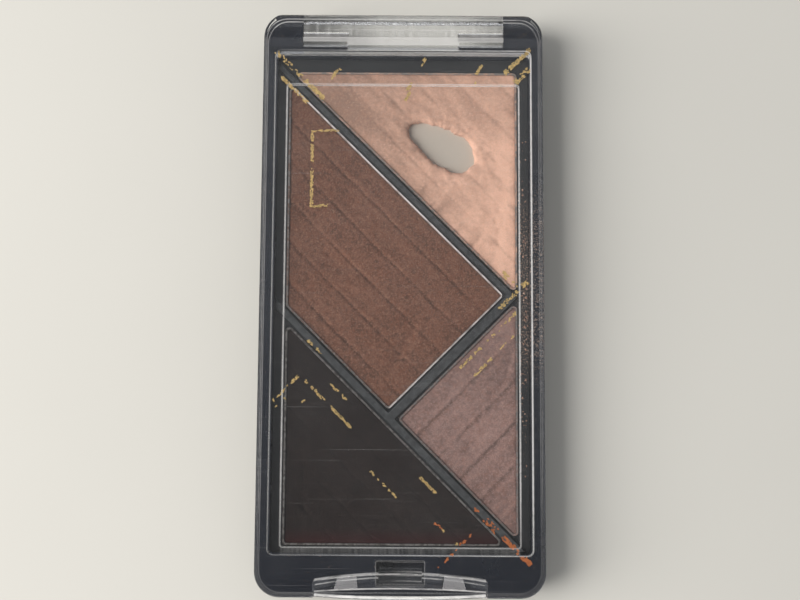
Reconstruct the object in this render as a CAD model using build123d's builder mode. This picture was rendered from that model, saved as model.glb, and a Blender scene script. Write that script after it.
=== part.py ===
from build123d import *
import math
import os

# Four-pan eyeshadow palette: glossy base, insert tray, stamped pans, pressed powders, clear hinged lid.
# Millimetres. X runs across the palette, Y towards the hinge at the back, Z up, with the lid closed.
# The origin is the middle of the underside, halfway between the back edge and the tip of the front lip.
# Places along the palette are stated as distances from the back edge or the front edge.

# Case outline
case_width = 48.0
case_length = 99.0
corner_radius = 4.2
lip_reach = 0.5
half_width = case_width / 2
back_edge = (case_length + lip_reach) / 2
front_edge = back_edge - case_length
case_middle = (back_edge + front_edge) / 2

# Case heights
base_height = 6.6
parting_gap = 0.15
lid_height = 3.75
lid_bottom = base_height + parting_gap
lid_top = lid_bottom + lid_height

# Base shell
base_floor = 1.3
foot_round = 0.8
rim_round = 0.25
recess_half_width = 21.9
recess_back = back_edge - 6.75
recess_front = front_edge + 6.95
recess_radius = 0.8

# Label on the underside
label_width = 29.4
label_length = 61.4
label_radius = 2.2
label_thickness = 0.12
label_recess_depth = 0.25
label_gap = 0.3

# Area of the four pans
pan_half_width = 19.85
pan_back = back_edge - 9.15
pan_front = back_edge - 90.8
pan_corner = 0.7

# Dividers at 45 degrees: where each centre line crosses X = 0, and its width
back_divider = back_edge - 29.7
back_divider_width = 1.66
middle_divider = back_edge - 67.5
middle_divider_width = 2.25
front_divider = back_edge - 71.6
front_divider_width = 1.94

# Insert tray
tray_gap = 0.1
tray_deck = 5.0
tray_pocket_floor = 3.1
pocket_gap = 0.12
ridge_height = 0.5
ridge_inset = 0.15
ridge_taper = 30.0

# Pans, powders and adhesive
adhesive_thickness = 0.15
adhesive_inset = 2.5
pan_bottom = tray_pocket_floor + adhesive_thickness
pan_rim = 5.2
pan_wall = 0.3
powder_gap = 0.02
powder_top = 5.05

# Hinge: the axis lies the same distance below the rim and inside the back edge
hinge_inset = 2.8
hinge_y = back_edge - hinge_inset
hinge_z = base_height - hinge_inset
pin_radius = 0.75
pin_running_gap = 0.05
pin_inner_end = 9.6
pin_outer_end = half_width - 0.3
pin_chamfer = 0.15
notch_half_width = 17.5
notch_side_depth = 5.3
notch_centre_depth = 5.9
notch_centre_half_width = 9.8
block_side_gap = 0.2
block_front_gap = 0.15
block_underside = 2.3
opening_angle = 120.0

# Clear lid
lid_plate = 1.5
lid_edge_round = 0.5
lid_back_round = 1.4
cavity_half_width = 22.05
cavity_back = recess_back + 0.15
cavity_front = recess_front - 0.2
cavity_radius = 1.0
window_half_width = 19.85
window_back = back_edge - 12.65
window_front = back_edge - 90.9
window_radius = 0.4
window_depth = 0.3
gate_mark_width = 6.0
gate_mark_length = 0.35
gate_mark_depth = 0.25
gate_mark_y = back_edge - 4.9

# Thumb scoop and lip on the lid's front edge
scoop_half_width = 14.35
scoop_depth = 1.7
scoop_top_ends = front_edge + 2.75
scoop_top_peak = front_edge + 3.9
scoop_foot_ends = front_edge + 0.9
scoop_foot_peak = front_edge + 1.4
lip_root = 0.6
lip_round = 0.25

# Snap hook and its pocket in the base
pocket_width = 8.15
pocket_back = front_edge + 5.9
pocket_front = front_edge + 2.15
pocket_floor = 2.0
hook_width = 7.2
hook_back = front_edge + 4.4
hook_front = front_edge + 2.8
hook_bottom = 2.6
hook_tip_height = 0.8
hook_barb = 0.25
catch_reach = 0.3
catch_bottom = 4.2
catch_height = 0.8

# How far cutting shapes run past the face they cut
overrun = 2.0


def diagonal(width):
    """Measure of a 45 degree divider's half width along X or Y."""
    return width / 2 * math.sqrt(2)


back_low = back_divider - diagonal(back_divider_width)
back_high = back_divider + diagonal(back_divider_width)
middle_low = middle_divider - diagonal(middle_divider_width)
middle_high = middle_divider + diagonal(middle_divider_width)
front_low = front_divider - diagonal(front_divider_width)
front_high = front_divider + diagonal(front_divider_width)


def crossing(falling, rising):
    """Point where the line X + Y = falling meets the line Y - X = rising."""
    return ((falling - rising) / 2, (falling + rising) / 2)


pan_corners = {
    "peach": [
        (back_high - pan_back, pan_back),
        (pan_half_width, pan_back),
        (pan_half_width, back_high - pan_half_width),
    ],
    "brown": [
        (-pan_half_width, back_low + pan_half_width),
        crossing(back_low, middle_high),
        crossing(front_high, middle_high),
        (-pan_half_width, front_high + pan_half_width),
    ],
    "taupe": [
        (pan_half_width, middle_low + pan_half_width),
        crossing(front_high, middle_low),
        (pan_half_width, front_high - pan_half_width),
    ],
    "dark": [
        (-pan_half_width, front_low + pan_half_width),
        (front_low - pan_front, pan_front),
        (-pan_half_width, pan_front),
    ],
}


def span(x_low, x_high, y_low, y_high, radius):
    """Rounded rectangle between two opposite corners."""
    with Locations(((x_low + x_high) / 2, (y_low + y_high) / 2)):
        RectangleRounded(x_high - x_low, y_high - y_low, radius)


def case_outline():
    """Outline of the whole case."""
    span(-half_width, half_width, front_edge, back_edge, corner_radius)


def pan_outline(corners, growth=0.0):
    """Outline of one pan, grown or shrunk evenly all round."""
    with BuildSketch() as outline:
        with BuildLine():
            Polyline(*corners, close=True)
        make_face()
        fillet(outline.vertices(), pan_corner)
        if growth:
            offset(amount=growth, kind=Kind.ARC if growth > 0 else Kind.INTERSECTION, mode=Mode.REPLACE)
    return outline.sketch


def band(falling_low, falling_high, rising_low, rising_high):
    """Tilted rectangle between two falling lines and two rising lines."""
    Polygon(
        crossing(falling_low, rising_low),
        crossing(falling_high, rising_low),
        crossing(falling_high, rising_high),
        crossing(falling_low, rising_high),
        align=None,
    )


def finish(builder, name):
    """Label one sub-part and write its STEP file."""
    builder.part.label = name
    export_step(builder.part, f"parts/{name}.step")


os.makedirs("parts", exist_ok=True)

# Base shell: rounded tray with a rim, hinge ears either side of a through notch, and the latch pocket
with BuildPart() as base_shell:
    with BuildSketch():
        case_outline()
    extrude(amount=base_height)
    fillet(base_shell.faces().sort_by(Axis.Z)[0].edges(), foot_round)
    fillet(base_shell.faces().sort_by(Axis.Z)[-1].edges(), rim_round)
    with BuildSketch(Plane.XY.offset(base_floor)):
        span(-recess_half_width, recess_half_width, recess_front, recess_back, recess_radius)
    extrude(amount=base_height, mode=Mode.SUBTRACT)
    with BuildSketch():
        with Locations((0, case_middle)):
            RectangleRounded(label_width + 2 * label_gap, label_length + 2 * label_gap, label_radius)
    extrude(amount=label_recess_depth, mode=Mode.SUBTRACT)
    with BuildSketch(Plane.XY.offset(-overrun)):
        with Locations((0, back_edge)):
            Rectangle(2 * notch_half_width, 2 * notch_side_depth)
            Rectangle(2 * notch_centre_half_width, 2 * notch_centre_depth)
    extrude(amount=base_height + 2 * overrun, mode=Mode.SUBTRACT)
    # The ears' top back edge is a quarter round about the hinge axis, so that the lid can swing past it
    with BuildSketch(Plane.YZ):
        with Locations((hinge_y + hinge_inset, hinge_z + hinge_inset)):
            Rectangle(2 * hinge_inset, 2 * hinge_inset)
        with Locations((hinge_y, hinge_z)):
            Circle(hinge_inset, mode=Mode.SUBTRACT)
    extrude(amount=half_width + overrun, both=True, mode=Mode.SUBTRACT)
    with BuildSketch(Plane.YZ):
        with Locations((hinge_y, hinge_z)):
            Circle(pin_radius)
    extrude(amount=half_width + overrun, both=True, mode=Mode.SUBTRACT)
    with BuildSketch(Plane.XY.offset(pocket_floor)):
        with Locations((0, (pocket_front + pocket_back) / 2)):
            Rectangle(pocket_width, pocket_back - pocket_front)
    extrude(amount=base_height, mode=Mode.SUBTRACT)
    with BuildSketch(Plane.YZ):
        with BuildLine():
            Polyline(
                (pocket_front - rim_round, catch_bottom),
                (pocket_front + catch_reach, catch_bottom),
                (pocket_front + catch_reach, catch_bottom + catch_height / 2),
                (pocket_front - rim_round, catch_bottom + catch_height),
                close=True,
            )
        make_face()
    extrude(amount=hook_width / 2, both=True)
finish(base_shell, "base_shell")

# Bottom label: blank film in its own shallow recess
with BuildPart() as bottom_label:
    with BuildSketch(Plane.XY.offset(label_recess_depth - label_thickness)):
        with Locations((0, case_middle)):
            RectangleRounded(label_width, label_length, label_radius)
    extrude(amount=label_thickness)
finish(bottom_label, "bottom_label")

# Insert tray: four pockets in one deck, with the dividers standing up as ridges between them
tray_half_width = recess_half_width - tray_gap
tray_back = recess_back - tray_gap
tray_front = recess_front + tray_gap
inset = diagonal(2 * ridge_inset)
pocket_outlines = [pan_outline(corners, pocket_gap) for corners in pan_corners.values()]

with BuildPart() as pan_tray:
    with BuildSketch(Plane.XY.offset(base_floor)):
        span(-tray_half_width, tray_half_width, tray_front, tray_back, recess_radius - tray_gap)
    extrude(amount=tray_deck - base_floor)
    with BuildSketch(Plane.XY.offset(tray_deck)):
        span(-tray_half_width, tray_half_width, tray_front, tray_back, recess_radius - tray_gap)
        with BuildSketch(mode=Mode.INTERSECT):
            band(back_low + inset, back_high - inset, middle_low + inset, case_length)
            band(front_divider, back_high - inset, middle_low + inset, middle_high - inset)
            band(front_low + inset, front_high - inset, -case_length, case_length)
    extrude(amount=ridge_height, taper=ridge_taper)
    with BuildSketch(Plane.XY.offset(tray_pocket_floor)):
        add(pocket_outlines)
    extrude(amount=base_height, mode=Mode.SUBTRACT)
finish(pan_tray, "pan_tray")

# Four pans with their powder and the adhesive pad that holds each one in its pocket
for colour, corners in pan_corners.items():
    pad_outline = pan_outline(corners, -adhesive_inset)
    outer_outline = pan_outline(corners)
    inner_outline = pan_outline(corners, -pan_wall)
    powder_outline = pan_outline(corners, -pan_wall - powder_gap)

    with BuildPart() as adhesive:
        with BuildSketch(Plane.XY.offset(tray_pocket_floor)):
            add(pad_outline)
        extrude(amount=adhesive_thickness)
    finish(adhesive, f"adhesive_{colour}")

    with BuildPart() as pan:
        with BuildSketch(Plane.XY.offset(pan_bottom)):
            add(outer_outline)
        extrude(amount=pan_rim - pan_bottom)
        with BuildSketch(Plane.XY.offset(pan_bottom + pan_wall)):
            add(inner_outline)
        extrude(amount=pan_rim, mode=Mode.SUBTRACT)
    finish(pan, f"pan_{colour}")

    with BuildPart() as powder:
        with BuildSketch(Plane.XY.offset(pan_bottom + pan_wall)):
            add(powder_outline)
        extrude(amount=powder_top - pan_bottom - pan_wall)
    finish(powder, f"powder_{colour}")

# Hinge pins: pressed into the ears from the sides, running in the lid's block
for side, sign in (("left", -1), ("right", 1)):
    with BuildPart() as hinge_pin:
        with BuildSketch(Plane.YZ.offset(sign * pin_inner_end)):
            with Locations((hinge_y, hinge_z)):
                Circle(pin_radius)
        extrude(amount=sign * (pin_outer_end - pin_inner_end))
        chamfer(hinge_pin.edges().filter_by(GeomType.CIRCLE), pin_chamfer)
    finish(hinge_pin, f"hinge_pin_{side}")


def knuckle_profile(front):
    """Side view of a lid knuckle: square above the hinge axis, rounded below it to turn in the notch."""
    with BuildSketch() as profile:
        with BuildLine():
            Polyline(
                (front, hinge_z),
                (front, lid_bottom + lid_plate),
                (back_edge, lid_bottom + lid_plate),
                (back_edge, hinge_z),
            )
            for reach, start in ((hinge_y - front, 180), (hinge_inset, 270)):
                EllipticalCenterArc((hinge_y, hinge_z), reach, block_underside, start, arc_size=90)
        make_face()
    return profile.sketch


# The relief under the lid's back edge runs from the flat underside up to the plane that meets the
# base's back face when the lid is fully open; both lie the same distance from the hinge axis
relief_slope = math.radians(opening_angle - 90)
relief_reach = hinge_inset + overrun
relief_distance = lid_bottom - hinge_z
relief_start = hinge_y - relief_distance * math.tan(relief_slope / 2)
relief_rise = (relief_distance + relief_reach * math.sin(relief_slope)) / math.cos(relief_slope)
relief_corners = [
    (relief_start, lid_bottom),
    (hinge_y + relief_reach, hinge_z + relief_rise),
    (hinge_y + relief_reach, lid_bottom - overrun),
    (relief_start, lid_bottom - overrun),
]


def scoop_level(ends, peak):
    """One level of the thumb scoop: an arc behind and a straight front beyond the lid."""
    with BuildSketch() as level:
        with BuildLine():
            ThreePointArc((-scoop_half_width, ends), (0, peak), (scoop_half_width, ends))
            Polyline(
                (scoop_half_width, ends),
                (scoop_half_width, front_edge - overrun),
                (-scoop_half_width, front_edge - overrun),
                (-scoop_half_width, ends),
            )
        make_face()
    return level.sketch


knuckles = [
    knuckle_profile(back_edge - depth + block_front_gap)
    for depth in (notch_side_depth, notch_centre_depth)
]
scoop_foot = scoop_level(scoop_foot_ends, scoop_foot_peak)
scoop_brow = scoop_level(scoop_top_ends, scoop_top_peak)

# Clear lid, moulded in one piece with its hinge block, lip and snap hook
with BuildPart() as clear_lid:
    with BuildSketch(Plane.XY.offset(lid_bottom)):
        case_outline()
    extrude(amount=lid_height)
    fillet(clear_lid.faces().sort_by(Axis.Z)[-1].edges(), lid_edge_round)
    # Inside: a shallow cavity with a thinner window over the powders
    with BuildSketch(Plane.XY.offset(lid_bottom)):
        span(-cavity_half_width, cavity_half_width, cavity_front, cavity_back, cavity_radius)
    extrude(amount=lid_height - lid_plate, mode=Mode.SUBTRACT)
    with BuildSketch(Plane.XY.offset(lid_bottom)):
        span(-window_half_width, window_half_width, window_front, window_back, window_radius)
    extrude(amount=lid_height - lid_plate + window_depth, mode=Mode.SUBTRACT)
    # The back is relieved under its edge, so that the lid turns past the ears and stops when fully open
    with BuildSketch(Plane.YZ):
        with BuildLine():
            Polyline(*relief_corners, close=True)
        make_face()
    extrude(amount=half_width + overrun, both=True, mode=Mode.SUBTRACT)
    for knuckle, reach in zip(knuckles, (notch_half_width, notch_centre_half_width)):
        with BuildSketch(Plane.YZ):
            add(knuckle)
        extrude(amount=reach - block_side_gap, both=True)
    for sign in (-1, 1):
        with BuildSketch(Plane.YZ.offset(sign * pin_inner_end)):
            with Locations((hinge_y, hinge_z)):
                Circle(pin_radius + pin_running_gap)
        extrude(amount=sign * notch_half_width, mode=Mode.SUBTRACT)
    # Large round along the top of the back edge
    with BuildSketch(Plane.YZ):
        with Locations((back_edge, lid_top)):
            Rectangle(2 * lid_back_round, 2 * lid_back_round)
        with Locations((back_edge - lid_back_round, lid_top - lid_back_round)):
            Circle(lid_back_round, mode=Mode.SUBTRACT)
    extrude(amount=half_width + overrun, both=True, mode=Mode.SUBTRACT)
    with BuildSketch(Plane.XY.offset(lid_top - gate_mark_depth)):
        with Locations((0, gate_mark_y)):
            Rectangle(gate_mark_width, gate_mark_length)
    extrude(amount=lid_height, mode=Mode.SUBTRACT)
    # Thumb scoop: a sloping facet between two arcs, down to a ledge that ends in the lip
    with BuildSketch(Plane.XY.offset(lid_top - scoop_depth)):
        add(scoop_foot)
    with BuildSketch(Plane.XY.offset(lid_top)):
        add(scoop_brow)
    loft(ruled=True, mode=Mode.SUBTRACT)
    with BuildSketch(Plane.XY.offset(lid_bottom)):
        with BuildLine():
            lip_curve = ThreePointArc(
                (-scoop_half_width, front_edge),
                (0, front_edge - lip_reach),
                (scoop_half_width, front_edge),
            )
            Polyline(
                lip_curve @ 1,
                (scoop_half_width, front_edge + lip_root),
                (-scoop_half_width, front_edge + lip_root),
                lip_curve @ 0,
            )
        make_face()
    extrude(amount=lid_height - scoop_depth)
    lip_edges = clear_lid.edges().filter_by(GeomType.CIRCLE).sort_by(Axis.Y)[0:2]
    fillet(lip_edges, lip_round)
    # Snap hook: a tongue with a barb on its front that reaches under the catch in the base
    with BuildSketch(Plane.YZ):
        with BuildLine():
            Polyline(
                (hook_back, lid_bottom + overrun / 2),
                (hook_back, hook_bottom),
                (hook_front, hook_bottom),
                (hook_front - hook_barb, hook_bottom + hook_tip_height),
                (hook_front, hook_bottom + hook_tip_height + hook_barb),
                (hook_front, lid_bottom + overrun / 2),
                close=True,
            )
        make_face()
    extrude(amount=hook_width / 2, both=True)
finish(clear_lid, "clear_lid")
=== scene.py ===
import math

import bpy
import numpy as np
from bpy.props import FloatProperty, FloatVectorProperty, IntProperty, PointerProperty
from bpy.types import Operator, Panel, PropertyGroup
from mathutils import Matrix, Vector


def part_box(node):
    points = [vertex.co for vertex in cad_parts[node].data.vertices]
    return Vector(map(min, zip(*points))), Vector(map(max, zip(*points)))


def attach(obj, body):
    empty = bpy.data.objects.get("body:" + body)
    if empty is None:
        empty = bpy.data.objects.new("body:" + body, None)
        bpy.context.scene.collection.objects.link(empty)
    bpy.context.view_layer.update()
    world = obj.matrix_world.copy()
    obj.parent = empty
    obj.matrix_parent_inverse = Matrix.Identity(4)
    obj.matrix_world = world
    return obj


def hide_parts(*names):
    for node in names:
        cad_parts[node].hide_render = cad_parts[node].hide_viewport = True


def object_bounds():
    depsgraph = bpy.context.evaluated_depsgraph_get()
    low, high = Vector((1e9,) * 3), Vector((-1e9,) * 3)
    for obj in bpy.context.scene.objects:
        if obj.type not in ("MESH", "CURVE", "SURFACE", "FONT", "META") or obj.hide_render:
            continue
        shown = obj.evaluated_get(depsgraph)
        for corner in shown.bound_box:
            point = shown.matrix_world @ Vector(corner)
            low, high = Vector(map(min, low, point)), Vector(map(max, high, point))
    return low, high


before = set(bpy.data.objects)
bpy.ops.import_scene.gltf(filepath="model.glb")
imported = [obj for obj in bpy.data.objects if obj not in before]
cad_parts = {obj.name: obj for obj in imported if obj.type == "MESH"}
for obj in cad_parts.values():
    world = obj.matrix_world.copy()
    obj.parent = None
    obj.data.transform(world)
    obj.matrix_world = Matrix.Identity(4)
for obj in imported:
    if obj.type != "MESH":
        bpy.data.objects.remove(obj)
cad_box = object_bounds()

bl_info = {
    "name": "Eyeshadow palette",
    "version": (1, 0, 0),
    "blender": (4, 5, 0),
    "location": "View3D > Sidebar > Palette",
    "description": "Presses the powders, prints the worn foil and finishes a four-pan palette",
    "category": "Object",
}

MM = 0.001
COLOURS = ("peach", "brown", "taupe", "dark")
ROOT_HALF = math.sqrt(0.5)

# Side of the square table of random values behind the smooth noise
LATTICE = 128
# Heights in millimetres of the tray's flat top, its ridges, and the pans' floor and rim
TRAY_DECK, RIDGE_TOP, PAN_FLOOR, PAN_RIM = 5.0, 5.5, 3.55, 5.2
# Half widths in millimetres of the lid's hinge block and of its thumb scoop
BLOCK_HALF, SCOOP_HALF = 17.3, 14.3


# ---------------------------------------------------------------- shapes

def box_of(node):
    """Lowest and highest corners of a CAD node, in millimetres."""
    return [[c / MM for c in corner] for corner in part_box(node)]


def outline_of(node, count):
    """Outline of a convex flat-topped node seen from above: its corner points sorted by their angle
    round the middle, then `count` points set at equal steps along the line that joins them."""
    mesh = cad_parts[node].data
    flat = np.empty(len(mesh.vertices) * 3, dtype=np.float32)
    mesh.vertices.foreach_get("co", flat)
    points = np.unique(np.round(flat.reshape(-1, 3)[:, :2].astype(float), 7), axis=0)
    spokes = points - points.mean(axis=0)
    points = points[np.argsort(np.arctan2(spokes[:, 1], spokes[:, 0]))]
    loop = np.vstack([points, points[:1]])
    run = np.concatenate([[0.0], np.cumsum(np.hypot(*np.diff(loop, axis=0).T))])
    steps = np.linspace(0.0, run[-1], count, endpoint=False)
    return np.column_stack([np.interp(steps, run, loop[:, 0]), np.interp(steps, run, loop[:, 1])])


def middle_of(outline):
    """Centre of area of a closed outline, by the sum of the triangles between its sides and the origin."""
    after = np.roll(outline, -1, axis=0)
    twice = outline[:, 0] * after[:, 1] - after[:, 0] * outline[:, 1]
    return ((outline + after) * twice[:, None]).sum(axis=0) / (3 * twice.sum())


def new_piece(name, points, faces, body, smooth=None, tone=None):
    """Object at the origin from whole arrays of points and equal-sided faces. The faces are turned
    round together if the volume that they shut in, a sixth of the sum of a . (b x c), is negative.
    Faces meeting at more than `smooth` degrees keep a sharp edge. tone is one value for each point."""
    a, b, c = points[faces[:, 0]], points[faces[:, 1]], points[faces[:, 2]]
    d = points[faces[:, -1]]
    volume = np.einsum("ij,ij->", a, np.cross(b, c)) + np.einsum("ij,ij->", a, np.cross(c, d))
    if volume < 0:
        faces = faces[:, ::-1]
    mesh = bpy.data.meshes.new(name)
    sides = faces.shape[1]
    mesh.vertices.add(len(points))
    mesh.vertices.foreach_set("co", points.astype(np.float32).ravel())
    mesh.loops.add(faces.size)
    mesh.loops.foreach_set("vertex_index", faces.astype(np.int32).ravel())
    mesh.polygons.add(len(faces))
    mesh.polygons.foreach_set("loop_start", np.arange(0, faces.size, sides, dtype=np.int32))
    mesh.update(calc_edges=True)
    mesh.validate()
    mesh.polygons.foreach_set("use_smooth", np.full(len(faces), smooth is not None))
    if smooth is not None:
        mesh.set_sharp_from_angle(angle=math.radians(smooth))
    if tone is not None:
        layer = mesh.attributes.new("tone", "FLOAT", "POINT")
        layer.data.foreach_set("value", tone.astype(np.float32))
    piece = bpy.data.objects.new(name, mesh)
    bpy.context.scene.collection.objects.link(piece)
    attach(piece, body)
    return piece


def grid_faces(rings, count, joined):
    """Triangles over a grid of `rings` rows and `count` columns that closes round its columns, and
    joins its last row to its first one if asked."""
    row, column = np.meshgrid(np.arange(rings if joined else rings - 1), np.arange(count), indexing="ij")
    below, beside = (row + 1) % rings, (column + 1) % count
    a, b = row * count + column, row * count + beside
    c, d = below * count + beside, below * count + column
    return np.vstack([np.stack(corners, axis=-1).reshape(-1, 3) for corners in ((a, b, c), (a, c, d))])


def capped_faces(rings, count):
    """Triangles over a grid that closes round its columns, with a single point beyond each end row:
    point 0 before the first row and the last point after the last one."""
    ring = np.arange(count)
    after = (ring + 1) % count
    foot = 1 + (rings - 1) * count
    near = np.column_stack([np.zeros(count, int), 1 + after, 1 + ring])
    far = np.column_stack([np.full(count, foot + count), foot + ring, foot + after])
    return np.vstack([1 + grid_faces(rings, count, False), near, far])


def swirl(x, y, pitch, seed):
    """Smooth noise from -1 to 1: random values on a square lattice of the given pitch, joined by
    smoothstep weights 3t^2 - 2t^3 both ways."""
    table = np.random.default_rng(seed).uniform(-1.0, 1.0, (LATTICE, LATTICE))
    u, v = x / pitch + 61.3, y / pitch + 47.9
    i, j = np.floor(u).astype(int), np.floor(v).astype(int)
    s, t = u - i, v - j
    s, t = s * s * (3 - 2 * s), t * t * (3 - 2 * t)
    i0, j0, i1, j1 = i % LATTICE, j % LATTICE, (i + 1) % LATTICE, (j + 1) % LATTICE
    low = table[i0, j0] * (1 - s) + table[i1, j0] * s
    high = table[i0, j1] * (1 - s) + table[i1, j1] * s
    return low * (1 - t) + high * t


def mound(x, y, centre, half_length, half_width, turn):
    """Bell-shaped patch, exp(-(a^2 + b^2)), with a and b measured along and across the turned axis."""
    c, s = math.cos(math.radians(turn)), math.sin(math.radians(turn))
    a = ((x - centre[0]) * c + (y - centre[1]) * s) / half_length
    b = ((y - centre[1]) * c - (x - centre[0]) * s) / half_width
    return np.exp(-(a * a + b * b))


def scored(across, first, pitch, width):
    """Pressed lines: a narrow bell exp(-(d / width)^2) of the distance d to the nearest line."""
    d = (across - first + pitch / 2) % pitch - pitch / 2
    return np.exp(-(d / width) ** 2)


# Touch marks in the powders, in millimetres: centre, half length, half width, turn and how deep
TOUCHES = {
    "peach": [
        ((7.2, 27.6), 8.0, 4.8, -38, 0.35),
        ((12.0, 10.0), 5.0, 0.7, 52, 0.10),
        ((9.0, 12.5), 4.0, 0.5, 48, 0.08),
        ((16.5, 14.0), 7.0, 1.3, 82, 0.12),
        ((5.5, 17.5), 3.0, 0.5, 50, 0.08),
    ],
    "brown": [
        ((-13.0, 9.4), 3.2, 1.0, -58, 0.16),
        ((-7.6, 5.5), 4.4, 1.1, -38, 0.14),
        ((-9.5, 2.2), 3.0, 0.8, -20, 0.12),
        ((-0.2, -8.6), 3.2, 0.6, 62, 0.20),
        ((1.6, -6.2), 2.6, 0.6, 70, 0.15),
        ((-4.0, 14.0), 6.0, 1.6, -44, 0.08),
    ],
    "taupe": [
        ((13.5, -19.0), 5.0, 2.0, 40, 0.10),
        ((11.0, -24.5), 4.0, 1.2, 44, 0.12),
        ((18.2, -11.5), 2.6, 0.6, 70, 0.16),
    ],
    "dark": [
        ((-16.6, -32.0), 7.5, 0.9, 88, 0.14),
        ((-7.0, -33.0), 7.0, 3.6, -40, 0.10),
        ((-2.0, -37.0), 6.0, 2.2, 10, 0.08),
    ],
}

# How each powder was pressed: the direction its lines are counted in, the first line and their depth
PRESSING = {
    "peach": (1, 5.3, 0.015),
    "brown": (1, 5.3, 0.14),
    "taupe": (-1, -32.8, 0.08),
    "dark": (1, -30.0, 0.05),
}

# How strongly each powder's shade varies from grain to grain
MOTTLE = {"peach": 0.03, "brown": 0.32, "taupe": 0.20, "dark": 0.22}

# Dragged smears, in millimetres: centre, half length, half width, turn and how much darker or lighter
SMEARS = {
    "peach": [
        ((3.2, 19.0), 2.6, 0.7, 62, -0.34),
        ((5.6, 15.6), 3.2, 0.9, 40, -0.34),
        ((9.4, 12.4), 3.6, 0.6, 50, -0.38),
        ((11.0, 9.4), 4.6, 0.8, 54, -0.34),
        ((14.6, 6.4), 3.6, 0.6, 60, -0.26),
        ((-8.6, 33.6), 5.0, 2.0, -44, -0.22),
        ((17.4, 20.0), 16.0, 1.1, 88, 0.26),
        ((13.0, 15.5), 8.0, 3.0, 50, 0.18),
    ],
    "taupe": [
        ((8.0, -20.4), 4.0, 1.8, 44, 0.16),
        ((15.6, -22.0), 7.0, 0.6, 45, 0.30),
        ((14.6, -27.2), 6.0, 0.5, 45, 0.30),
        ((15.6, -31.0), 5.0, 0.5, 45, 0.26),
        ((17.2, -14.0), 4.0, 1.0, 45, -0.30),
    ],
    "brown": [
        ((-2.0, 12.0), 9.0, 1.0, -46, 0.24),
        ((-8.0, 6.0), 8.0, 1.3, -46, 0.22),
        ((-16.0, 20.0), 5.0, 2.0, 88, -0.20),
        ((-12.0, -2.0), 7.0, 1.2, -46, 0.20),
    ],
}


def powder_surface(colour, x, y, look):
    """Depth below the pressed level, in millimetres, and tone of one powder.

    depth = score lines - their crests + touch marks + two sizes of swirl. The lines lie where x + y
    (or y - x) meets a fixed step. tone holds painted shade in the lines and a painted highlight on the
    crests, and is changed by the smears and by a fine mottle."""
    sign, first, score_depth = PRESSING[colour]
    across = (x + y if sign > 0 else y - x) * ROOT_HALF
    along = (y - x if sign > 0 else x + y) * ROOT_HALF
    wander = 0.12 * swirl(along, across, 3.0, 11)
    lines = scored(across + wander, first * ROOT_HALF, look.line_pitch / MM, 0.27)
    lines *= np.clip(0.75 + 0.45 * swirl(x, y, 3.2, 12), 0.25, 1.0)
    crests = scored(across + wander, first * ROOT_HALF + 0.62, look.line_pitch / MM, 0.40)
    depth = score_depth * (lines - 0.25 * crests)
    # Painted shade and highlight: tone is darker in the scored lines, the more so the deeper they are, and
    # lighter on their crests
    tone = 0.50 - (0.62 * lines - 0.20 * crests) * min(1.0, score_depth / 0.05)
    drag = swirl(along * 0.30, across, 0.9, 16)
    for centre, half_length, half_width, turn, deep in TOUCHES[colour]:
        patch = mound(x, y, centre, half_length, half_width, turn)
        ragged = patch * (1 + 0.5 * swirl(x, y, 0.9, 13))
        depth = depth + deep * ragged
        edge = 4 * ragged * (1 - np.clip(ragged, 0, 1))
        tone = tone + 0.20 * edge - 0.08 * ragged
    for centre, half_length, half_width, turn, shade in SMEARS.get(colour, []):
        tone = tone + shade * mound(x, y, centre, half_length, half_width, turn) * (1 + 0.6 * drag)
    rough = min(1.0, 0.4 + 5 * score_depth)
    depth = depth + rough * (0.030 * swirl(x, y, 2.6, 14) + 0.016 * swirl(x, y, 0.75, 15)) + 0.05
    mottle = swirl(x, y, 0.55, 18) + 0.8 * swirl(x, y, 0.28, 20)
    tone = tone + 0.15 * drag + 0.14 * swirl(x, y, 5.5, 17) + MOTTLE[colour] * mottle
    return depth, tone


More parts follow.
